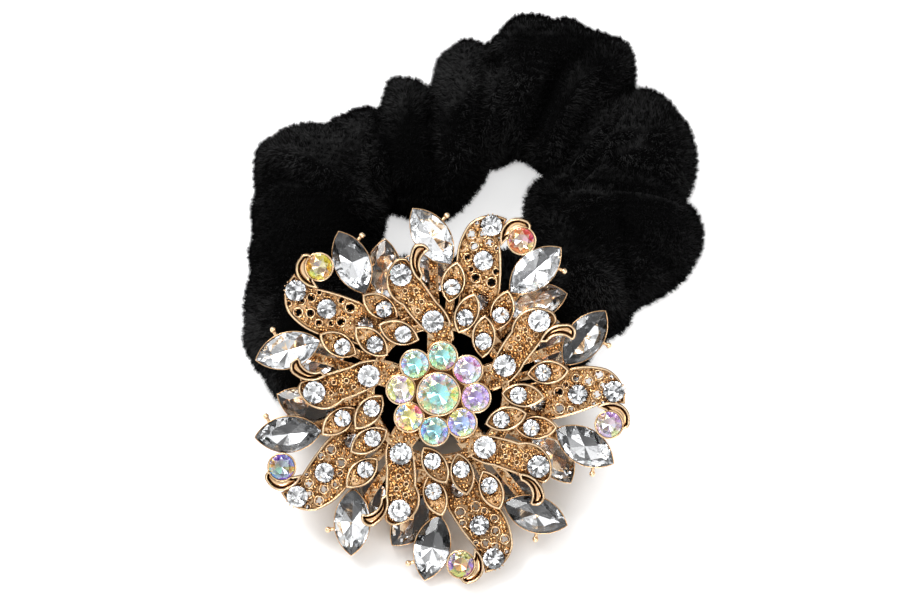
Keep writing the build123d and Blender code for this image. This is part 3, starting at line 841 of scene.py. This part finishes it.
def grains(matrix, triangles, level, rng):
    """Returns the casting grains of one floor, each (points, faces, tint)."""
    made = []
    for x, y in grain_spots(triangles, rng) if len(triangles) else []:
        if rng.random() < BARE_SHARE:
            continue
        size = SMALLEST_GRAIN + GRAIN_SPREAD * rng.random() ** GRAIN_FAVOUR
        height = size * rng.uniform(*GRAIN_HEIGHTS)
        tilt = rng.uniform(*GRAIN_TILTS, 2)
        spin = rng.uniform(0, 1)
        local = dome(size, height, tilt, spin) + (x, y, level - GRAIN_SINK)
        made.append((placed(matrix, local), dome_faces(), grain_tint(rng)))
    return made


def grain_piece(name, parts):
    """Makes one piece of tinted grains, each (points, faces, tint)."""
    points, faces = join([part[:2] for part in parts])
    tints = [tint for _, local_faces, tint in parts for _ in local_faces]
    make_piece(name, points, faces, [grained], "gilt_metal", tints=tints)


rng = np.random.default_rng(SEED)
scrolls = []
for name, source, tier, ribbon in (
    ("marquise_grain", "marquise_frame", lower_tier, None),
    ("ribbon_grain", "ribbon_frame", ribbon_tier, large_ribbon),
    ("rosette_grain", "rosette_frame", rosette_tier, small_ribbon),
):
    triangles = node_triangles(source)
    floors = []
    for flat in (tier + marquise_arm_thickness, tier + sheet_thickness):
        floors.append((brooch, floor_triangles(triangles, brooch, flat), flat))
    for k in range(sector_count):
        if ribbon:
            matrix = ribbon(k)
            field, curls = field_and_curls(floor_triangles(triangles, matrix, floor_thickness))
            floors.append((matrix, field, floor_thickness))
            scrolls += [scroll(matrix, curl) for curl in curls]
        for place in leaves:
            if place.tier == tier:
                matrix = sector(k) @ leaf_frame(place)
                found = floor_triangles(triangles, matrix, floor_thickness)
                floors.append((matrix, found, floor_thickness))
    grain_piece(name, [grain for floor in floors for grain in grains(*floor, rng)])


# Wire rings, beads and prongs, in millimetres
RING_WIRE, RING_MARGIN = 0.16, 0.07
PIT_RADIUS, PIT_WIRE, PIT_SIDES = 0.44, 0.13, 14
WIRE_LEVEL = floor_thickness + 0.08
OPENING_PITCH, OPENING_JITTER = 0.46, (-0.4, 0.4)
OPENING_SIZES, OPENING_INSETS, OPENING_DEPTHS = (0.12, 0.30), (0.1, 0.9), (0.05, 0.45)
MILLED_COUNT, MILLED_RADIUS, MILLED_MARGIN, MILLED_DROP = 16, 0.15, 0.17, 0.38
PRONG_COUNT, PRONG_RADIUS, PRONG_SHARE, PRONG_LIFT = 4, 0.17, 0.98, 0.12
COARSE_BALL = (6, 4)


def torus(matrix, radius, wire, level, sides=20, section=6):
    """Returns a wire ring that lies flat at a level above its frame's origin."""
    points, faces = [], []
    for i in range(sides):
        a, row, following = 2 * math.pi * i / sides, i * section, (i + 1) % sides * section
        for j in range(section):
            b, j2 = 2 * math.pi * j / section, (j + 1) % section
            r = radius + wire * math.cos(b)
            points.append((r * math.cos(a), r * math.sin(a), level + wire * math.sin(b)))
            faces.append((row + j, following + j, following + j2, row + j2))
    return placed(matrix, points), faces


def ball(matrix, radius, sides=8, rings=5):
    points, faces = [(0, 0, -radius)], []
    for i in range(1, rings):
        b = math.pi * i / rings - math.pi / 2
        wide, high = radius * math.cos(b), radius * math.sin(b)
        for j in range(sides):
            a = 2 * math.pi * j / sides
            points.append((wide * math.cos(a), wide * math.sin(a), high))
    points.append((0, 0, radius))
    top = len(points) - 1
    for j in range(sides):
        j2 = (j + 1) % sides
        faces.append((0, 1 + j2, 1 + j))
        for i in range(rings - 2):
            row, following = 1 + i * sides, 1 + (i + 1) * sides
            faces.append((row + j, row + j2, following + j2, following + j))
        last = 1 + (rings - 2) * sides
        faces.append((last + j, last + j2, top))
    return placed(matrix, points), faces


make_piece("curl_scrolls", *join(scrolls), [gilt], "gilt_metal")

rings, opening_grains = [], []
for k in range(sector_count):
    for hole in filigree_holes:
        middle = large_ribbon(k) @ on_plate(hole)
        rings.append(torus(middle, hole.radius + RING_MARGIN, RING_WIRE, WIRE_LEVEL))
        count = int(round(2 * math.pi * hole.radius / OPENING_PITCH))
        for number in range(count):
            size = rng.uniform(*OPENING_SIZES)
            inset = hole.radius - size * rng.uniform(*OPENING_INSETS)
            depth = floor_thickness - rng.uniform(*OPENING_DEPTHS)
            place = middle @ turn("Z", (number + rng.uniform(*OPENING_JITTER)) * 360 / count)
            local, faces = ball(place @ shift(inset, 0, depth), size, *COARSE_BALL)
            opening_grains.append((local, faces, grain_tint(rng)))
    for pit in pits:
        middle = small_ribbon(k) @ on_plate(pit)
        rings.append(torus(middle, PIT_RADIUS, PIT_WIRE, WIRE_LEVEL, PIT_SIDES))
make_piece("filigree_wire", *join(rings), [gilt], "gilt_metal")
grain_piece("opening_grain", opening_grains)

beads = []
for spot, radius in milled_spots:
    for number in range(MILLED_COUNT):
        place = spot @ turn("Z", number * 360 / MILLED_COUNT)
        place = place @ shift(radius + MILLED_MARGIN, 0, -MILLED_DROP)
        beads.append(ball(place, MILLED_RADIUS, *COARSE_BALL))
for spot, radius in prong_spots:
    for number in range(PRONG_COUNT):
        place = spot @ turn("Z", 45 + number * 360 / PRONG_COUNT)
        beads.append(ball(place @ shift(radius * PRONG_SHARE, 0, PRONG_LIFT), PRONG_RADIUS))
make_piece("stone_prongs", *join(beads), [gilt], "gilt_metal")


# Velvet, in millimetres but for VOXEL_SIZE. Folds begin at the height FOLDS_FROM.
VOXEL_SIZE = 0.0007
SMOOTH_FACTOR, SMOOTH_ROUNDS = 0.5, 8
GATHER_HEIGHT = 0.32
FOLD_DEPTH = 1.35
FOLDS_FROM, FOLDS_BLEND = 8, 6
BROOCH_GAP, BROOCH_BLEND, FLOOR_BLEND, FLOOR_GAP = 0.5, 3, 2, 0.02


def outer_skin(name):
    """Returns the outer shell of a hollow CAD node as a bmesh, in metres."""
    source = bmesh.new()
    source.from_mesh(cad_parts[name].data)
    bmesh.ops.remove_doubles(source, verts=source.verts, dist=1e-6)
    seen, shells = set(), []
    for start in source.verts:
        if start in seen:
            continue
        stack, shell = [start], {start}
        while stack:
            vert = stack.pop()
            found = {edge.other_vert(vert) for edge in vert.link_edges} - shell
            shell |= found
            stack += found
        seen |= shell
        shells.append(shell)
    keep = max(shells, key=lambda shell: max(v.co.x for v in shell) - min(v.co.x for v in shell))
    bmesh.ops.delete(source, geom=[v for v in source.verts if v not in keep], context="VERTS")
    return source


skin = outer_skin("scrunchie_cover")
skin_mesh = bpy.data.meshes.new("velvet_cover")
skin.to_mesh(skin_mesh)
skin.free()
cover = add_object("velvet_cover", skin_mesh)
remesh = cover.modifiers.new("remesh", "REMESH")
remesh.mode = "VOXEL"
remesh.voxel_size = VOXEL_SIZE
smooth = cover.modifiers.new("smooth", "SMOOTH")
smooth.factor = SMOOTH_FACTOR
smooth.iterations = SMOOTH_ROUNDS
graph = bpy.context.evaluated_depsgraph_get()
soft = bpy.data.meshes.new_from_object(cover.evaluated_get(graph))
cover.modifiers.clear()
cover.data = soft
points = read_vectors(soft.vertices, "co") / MM
normals = read_vectors(soft.vertices, "normal")


def room_under_brooch(where):
    """Returns how far each point lies under the brooch's back, and more outside its reach."""
    local = placed(brooch.inverted(), where)
    outside = np.maximum(0, np.linalg.norm(local[:, :2], axis=1) - brooch_reach)
    return -local[:, 2] + outside


def gathers(where):
    """Returns the height of the fine gathers: ridges across the tube, broken up."""
    angle = np.arctan2(where[:, 1], where[:, 0])
    radius = np.linalg.norm(where[:, :2], axis=1)
    drift = 0.35 * np.sin(2.3 * angle + 0.11 * radius)
    drift += 0.25 * np.sin(5.1 * angle - 0.2 * radius + 0.13 * where[:, 2])
    ridge = np.sin(31 * (angle + 0.06 * drift) + 0.12 * radius)
    ridge += 0.6 * np.sin(53 * angle + 0.3 * radius + 2 * drift)
    fade = 0.5 + 0.5 * np.sin(3 * angle + 1.2) * np.cos(0.23 * radius)
    return GATHER_HEIGHT * ridge * fade


# Ridges and valleys of the upper side: height, half width and plan points, in mm
FOLD_LINES = [
    (1.1, 2.0, [(-37.0, 8.7), (-28.0, 2.5), (-19.7, -2.3)]),
    (-1.0, 2.4, [(-37.0, 3.5), (-29.0, -2.0), (-21.0, -6.5)]),
    (-1.3, 1.2, [(-17.4, 15.4), (-18.5, 7.0), (-17.9, -0.3)]),
    (0.7, 1.5, [(-13.0, 17.5), (-13.0, 5.0)]),
    (-1.3, 1.2, [(-7.7, 19.8), (-8.3, 13.0), (-7.7, 7.7)]),
    (0.8, 2.0, [(-1.5, 27.0), (-2.5, 16.0)]),
    (-1.7, 1.2, [(3.0, 28.8), (5.7, 19.8), (3.9, 7.7)]),
    (1.0, 1.6, [(19.4, 23.8), (17.0, 16.0), (13.9, 9.7)]),
    (-1.0, 1.5, [(15.7, 25.8), (13.5, 19.0), (11.2, 13.7)]),
    (-0.7, 1.3, [(24.0, 24.0), (20.0, 14.0)]),
    (-1.7, 1.2, [(28.8, 19.8), (20.3, 5.7), (17.0, 0.9)]),
    (-0.9, 1.2, [(30.3, 9.7), (17.0, 0.9)]),
    (0.8, 1.4, [(37.5, 13.7), (30.0, 9.0), (23.0, 3.7)]),
    (-1.7, 1.2, [(37.7, -0.7), (23.0, -0.3), (17.0, 0.9)]),
    (0.8, 1.6, [(38.0, -8.0), (28.0, -6.0), (20.0, -2.0)]),
    (-1.1, 1.4, [(36.0, -13.0), (29.0, -9.5), (22.0, -4.5)]),
    (-1.3, 1.3, [(29.4, -21.2), (27.5, -12.0), (26.6, -4.3)]),
]


def folds(where):
    """Returns the height that the fold lines add, on the upper side of the tube only."""
    total = np.zeros(len(where))
    for height, half_width, line in FOLD_LINES:
        near = np.full(len(where), FAR)
        for start, end in zip(line, line[1:]):
            away = line_distance(where[:, :2], np.array(start), np.array(end))
            near = np.minimum(near, away)
        total += height * np.exp(-((near / half_width) ** 2))
    return FOLD_DEPTH * total * np.clip((where[:, 2] - FOLDS_FROM) / FOLDS_BLEND, 0, 1)


# Patches of painted sheen and painted shade that make the pile lighter or darker: strength, half
# width and plan point, in mm
PAINTED_LIGHT_PATCHES = [
    (0.36, 6.0, (-2.5, 23.8)), (0.20, 4.0, (-31.0, 11.0)), (0.24, 4.0, (-25.0, 10.0)),
    (0.14, 3.0, (-19.5, 12.0)), (-0.18, 9.0, (14.0, 24.0)), (0.16, 7.0, (31.0, 13.0)),
    (0.10, 5.0, (21.0, 18.0)), (-0.24, 8.0, (31.0, -8.0)), (-0.34, 7.0, (-33.0, -3.0)),
    (-0.30, 6.0, (-25.0, -7.0)), (-0.34, 8.0, (-36.0, -13.0)), (-0.12, 6.0, (-12.0, 8.0)),
    (-0.24, 6.0, (-8.0, 2.5)), (0.16, 4.5, (-40.0, -24.0)), (0.10, 4.0, (28.0, -17.0)),
]


def painted_sheen_and_shade(where):
    """Returns how much painted sheen or shade lightens or darkens the pile at each point."""
    total = np.zeros(len(where))
    for strength, half_width, place in PAINTED_LIGHT_PATCHES:
        away = np.linalg.norm(where[:, :2] - place, axis=1)
        total += strength * np.exp(-((away / half_width) ** 2))
    return total


# The gathers and folds die out towards the brooch's back and towards the floor
free = np.clip((room_under_brooch(points) - BROOCH_GAP) / BROOCH_BLEND, 0, 1)
free *= np.clip(points[:, 2] / FLOOR_BLEND, 0, 1)
points = points + normals * ((gathers(points) + folds(points)) * free)[:, None]
points[:, 2] = np.maximum(points[:, 2], FLOOR_GAP)
soft.vertices.foreach_set("co", (points * MM).astype(np.float32).ravel())
# The cover carries painted sheen and shade, as lighter and darker patches of the pile
painted_light_layer = soft.attributes.new("nap_and_painted_light", "FLOAT", "POINT")
painted_light_layer.data.foreach_set("value", painted_sheen_and_shade(points).astype(np.float32))
soft.materials.clear()
soft.materials.append(velvet)
soft.polygons.foreach_set("use_smooth", np.full(len(soft.polygons), True))
soft.update()
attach(cover, "root")
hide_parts("scrunchie_cover")

# How far the pile's fibres lean and stray as shares of upright, their lengths as shares of the
# whole, and their gaps in millimetres
LAY_SHARE, CLUMP_SHARE, STRAY_SHARE = 0.5, 0.42, 0.2
FIBRE_LENGTHS = (0.6, 1.2)
SHORTEST_FIBRE, FIBRE_GAP, FIBRE_ROOT = 0.1, 0.4, 0.15
LOWEST_TIP, FLATTENED = 0.03, 0.2


def pile(name, count, length, width, seed):
    """Makes short fibres that stand on the cover, each a narrow triangle."""
    rng = np.random.default_rng(seed)
    tri = points[triangle_corners(soft)]
    cross = np.cross(tri[:, 1] - tri[:, 0], tri[:, 2] - tri[:, 0])
    area = np.linalg.norm(cross, axis=1)
    chosen = rng.choice(len(tri), count, p=area / area.sum())
    u, v = rng.random(count), rng.random(count)
    flip = u + v > 1
    u[flip], v[flip] = 1 - u[flip], 1 - v[flip]
    a, b, c = (tri[chosen, corner] for corner in range(3))
    base = a + u[:, None] * (b - a) + v[:, None] * (c - a)
    normal = cross[chosen] / area[chosen][:, None]
    angle = np.arctan2(base[:, 1], base[:, 0])
    along = np.stack([-np.sin(angle), np.cos(angle), np.zeros(count)], axis=1)
    across = np.cross(normal, along)
    comb = 1.3 * np.sin(0.21 * base[:, 0] + 0.5)
    comb += 1.2 * np.sin(0.17 * base[:, 1] + 0.13 * base[:, 2])
    lay = np.cos(comb)[:, None] * along + np.sin(comb)[:, None] * across
    clump = np.sin(base * (3.9, 4.3, 4.7) + 2.0 * np.sin(base[:, [1, 2, 0]] * 1.7))
    stray = rng.normal(0, STRAY_SHARE, (count, 3))
    heading = normal + LAY_SHARE * lay + CLUMP_SHARE * clump + stray
    heading /= np.linalg.norm(heading, axis=1)[:, None]
    long = length * rng.uniform(*FIBRE_LENGTHS, count)
    long = np.minimum(long, np.maximum(SHORTEST_FIBRE, room_under_brooch(base) - FIBRE_GAP))
    tip = base + heading * long[:, None]
    down = tip[:, 2] < LOWEST_TIP
    heading[down, 2] = np.abs(heading[down, 2]) * FLATTENED
    tip = base + heading * long[:, None]
    keep = (tip[:, 2] > FLOOR_GAP) & (base[:, 2] > FLOOR_GAP)
    base, tip, normal = base[keep], tip[keep], normal[keep]
    side = np.cross(tip - base, rng.normal(0, 1, base.shape))
    side *= (width / 2 / np.linalg.norm(side, axis=1))[:, None]
    root = base - normal * FIBRE_ROOT
    corners = np.stack([root - side, root + side, tip], axis=1).reshape(-1, 3)
    faces = np.arange(len(corners)).reshape(-1, 3)
    fibres = make_piece(name, corners, faces, [pile_fibre], "black_velvet")
    # The fibres carry the same painted sheen and shade as the cover
    layer = fibres.data.attributes.new("nap_and_painted_light", "FLOAT", "POINT")
    layer.data.foreach_set("value", np.repeat(painted_sheen_and_shade(base), 3).astype(np.float32))


fibre_count = 180000
pile("velvet_pile", fibre_count, length=1.35, width=0.13, seed=SEED + 1)
pile("velvet_underpile", fibre_count, length=0.7, width=0.13, seed=SEED + 2)


# Camera, light and floor. The origin is seen at ORIGIN_PX, and the part's middle stands NEARER.
SCALE_PX = 5.5
ORIGIN_PX = (473.5, 235.0)
FRAME_PX = (900, 600)
ELEVATION = 65.0
DISTANCE = 1.6
NEARER = 0.018
SENSOR_WIDTH = 36.0


def look(name, data, location, direction):
    """Adds a camera or a lamp that looks in a direction."""
    made = add_object(name, data)
    made.location = location
    made.rotation_mode = "QUATERNION"
    made.rotation_quaternion = direction.to_track_quat("-Z", "Y")
    return made


tilt = math.radians(ELEVATION)
back = Vector((0, -math.cos(tilt), math.sin(tilt)))
up = Vector((0, math.sin(tilt), math.cos(tilt)))
aim_x = (FRAME_PX[0] / 2 - ORIGIN_PX[0]) / SCALE_PX * MM
aim_up = (ORIGIN_PX[1] - FRAME_PX[1] / 2) / SCALE_PX * MM
aim = Vector((aim_x, 0, 0)) + up * aim_up
lens = bpy.data.cameras.new("camera")
lens.sensor_width = SENSOR_WIDTH
lens.lens = SENSOR_WIDTH * (DISTANCE - NEARER) / (FRAME_PX[0] / SCALE_PX * MM)
lens.clip_start = 0.05
bpy.context.scene.camera = look("camera", lens, aim + back * DISTANCE, -back)

# A sheet of white paper that glows by itself, except near a point under the brooch
GLOW_MIDDLE = (-0.006, -0.046, 0)
GLOW_START, GLOW_FULL, GLOW = 0.024, 0.036, 0.62
SHEET = 3

ground = bpy.data.meshes.new("ground")
corners = [(-SHEET, -SHEET, 0), (SHEET, -SHEET, 0), (SHEET, SHEET, 0), (-SHEET, SHEET, 0)]
ground.from_pydata(corners, [], [(0, 1, 2, 3)])
paper, paper_tree, paper_shader = new_material("white_paper")
set_inputs(paper_shader, {
    "Base Color": (0.93, 0.93, 0.93, 1), "Roughness": 0.8, "Specular IOR Level": 0.2,
    "Emission Color": (1, 1, 1, 1),
})
spread = node(paper_tree, "NewGeometry")
wires = {0: spread.outputs["Position"]}
away = node(paper_tree, "VectorMath", wires, operation="DISTANCE")
away.inputs[1].default_value = GLOW_MIDDLE
ends = {"From Min": GLOW_START, "From Max": GLOW_FULL, "To Min": 0.0, "To Max": GLOW}
glow = map_range(paper_tree, away.outputs["Value"], ends)
paper_tree.links.new(glow, paper_shader.inputs["Emission Strength"])
ground.materials.append(paper)
floor = add_object("ground", ground)


def softbox(name, location, target, size, power):
    light = bpy.data.lights.new(name, "AREA")
    light.shape = "RECTANGLE"
    light.size, light.size_y = size
    light.energy = power
    look(name, light, location, Vector(target) - Vector(location))


softbox("key", (-0.35, 0.25, 0.62), target=(0, 0, 0), size=(0.35, 0.35), power=3.4)
softbox("fill", (0.45, -0.3, 0.5), target=(0, 0, 0), size=(0.3, 0.3), power=1.2)
softbox("glint", (0.05, -0.55, 0.35), target=(0, -0.03, 0.02), size=(0.12, 0.25), power=0.7)

# The room's light: bands round one axis, and one side that is dimmer
SKY_AXIS = (0, -0.4226, 0.9063)
SKY_BANDS = [
    (0.0, (0.55, 0.55, 0.56)), (0.10, (0.06, 0.05, 0.05)), (0.38, (0.08, 0.08, 0.08)),
    (0.46, (1.1, 1.1, 1.12)), (0.72, (1.3, 1.3, 1.3)), (0.78, (0.12, 0.12, 0.12)),
    (0.83, (0.15, 0.15, 0.15)), (0.86, (1.4, 1.4, 1.4)), (0.965, (1.4, 1.4, 1.4)),
    (0.988, (0.85, 0.85, 0.85)), (1.0, (0.36, 0.35, 0.34)),
]
BRIGHT_SIDE = (-0.8, 0.5, 0.33)

world = bpy.data.worlds.new("studio")
scene.world = world
world.use_nodes = True
tree = world.node_tree
background = tree.nodes["Background"]
direction = node(tree, "TexCoord").outputs["Generated"]
sky = ramp(tree, dot(tree, direction, SKY_AXIS), SKY_BANDS)
ends = {"From Min": -0.75, "From Max": 0.15, "To Min": 0.35, "To Max": 1.0}
strength = map_range(tree, dot(tree, direction, BRIGHT_SIDE), ends)
tree.links.new(strength, background.inputs["Strength"])
tree.links.new(sky, background.inputs["Color"])

scene.view_settings.view_transform = "Standard"
scene.view_settings.look = "None"
scene.view_settings.exposure = 0.0
scene.cycles.max_bounces = 14
scene.cycles.transmission_bounces = 12
scene.cycles.glossy_bounces = 8
scene.cycles.diffuse_bounces = 3
scene.cycles.sample_clamp_indirect = 6.0
scene.cycles.use_denoising = True
